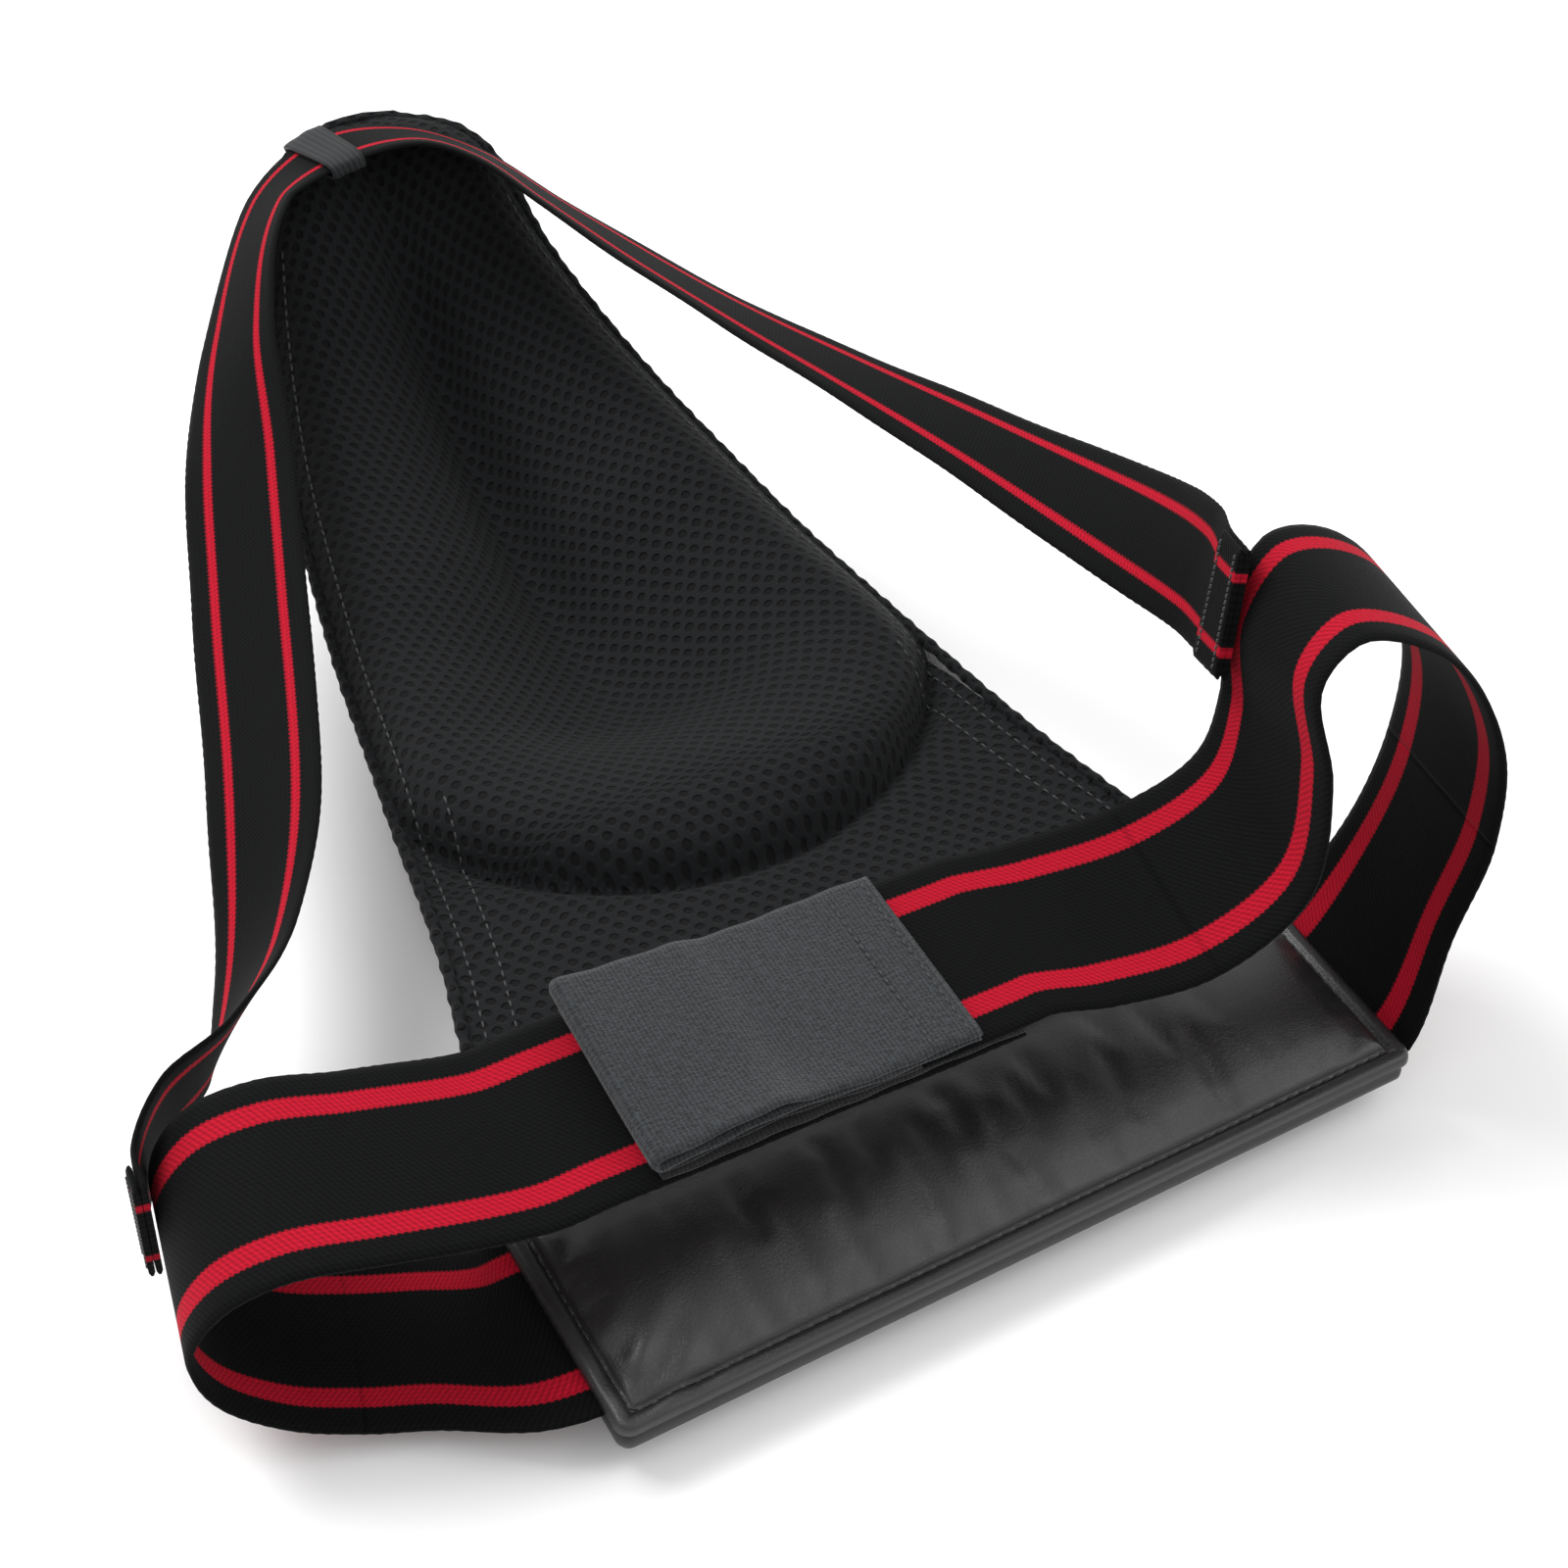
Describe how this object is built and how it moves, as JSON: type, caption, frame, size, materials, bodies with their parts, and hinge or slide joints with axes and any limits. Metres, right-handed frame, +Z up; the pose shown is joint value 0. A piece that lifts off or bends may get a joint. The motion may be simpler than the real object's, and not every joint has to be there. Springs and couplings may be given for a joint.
{
  "type": "groin protector",
  "caption": "Padded groin guard with a hard cup inside, mesh-lined bowl, leather waist pad, striped waist belt with hook-and-loop closure, and a leg strap.",
  "frame": {"origin": "centre of the flat contact face under the cup, where the guard rests on a table on its outer side", "axes": "+Z up, out of the lined hollow; +Y from the waist pad to the crotch tip; +X to the right seen from the waist pad"},
  "size_m": [0.3091, 0.3673, 0.134],
  "materials": {
    "leather": "semi-gloss black PU leather",
    "foam": "closed-cell foam",
    "hard_plastic": "moulded plastic cup",
    "air_mesh": "black air mesh with round holes",
    "belt_webbing": "50 mm black elastic with two red stripes",
    "leg_webbing": "30 mm black elastic with two red stripes",
    "keeper_webbing": "black webbing",
    "loop_tape": "dark grey loop tape",
    "hook_tape": "black hook tape",
    "thread": "black sewing thread"
  },
  "bodies": {
    "guard": {"outer_cover": "leather", "shell_foam": "foam", "cup_shell": "hard_plastic", "rim_padding": "foam", "bowl_lining": "air_mesh", "flange_foam": "foam", "flange_lining": "air_mesh", "edge_hem": "air_mesh", "seam_tape": "thread", "belt_left": "belt_webbing", "loop_patch": "loop_tape", "belt_right": "belt_webbing", "leg_strap": "leg_webbing", "keeper_loop": "keeper_webbing", "leg_fold_left": "leg_webbing", "leg_fold_right": "leg_webbing", "bartack_left": "thread", "bartack_right": "thread"},
    "waist_pad": {"pad_backing": "leather", "pad_welt": "leather", "pad_foam": "foam", "pad_facing": "leather", "belt_anchor_left": "belt_webbing", "belt_anchor_right": "belt_webbing"},
    "closure_slider": {"belt_right_end": "belt_webbing", "tab_sewn_end": "loop_tape"},
    "tab": {"closure_tab": "loop_tape", "hook_strip": "hook_tape"}
  },
  "joints": [
    {"name": "pad_fold", "type": "hinge", "parent": "guard", "child": "waist_pad", "pos_m": [0.0016, -0.1145, 0.0171], "axis": [0.9997, 0.0244, 0], "range_deg": [-12, 30]},
    {"name": "waist_adjust", "type": "slide", "parent": "guard", "child": "closure_slider", "axis": [-1, 0, 0], "range_m": [0, 0.018]},
    {"name": "closure_peel", "type": "hinge", "parent": "closure_slider", "child": "tab", "pos_m": [-0.01415, -0.11961, 0.05728], "axis": [0, 0.9969, 0.0785], "range_deg": [0, 110]}
  ]
}
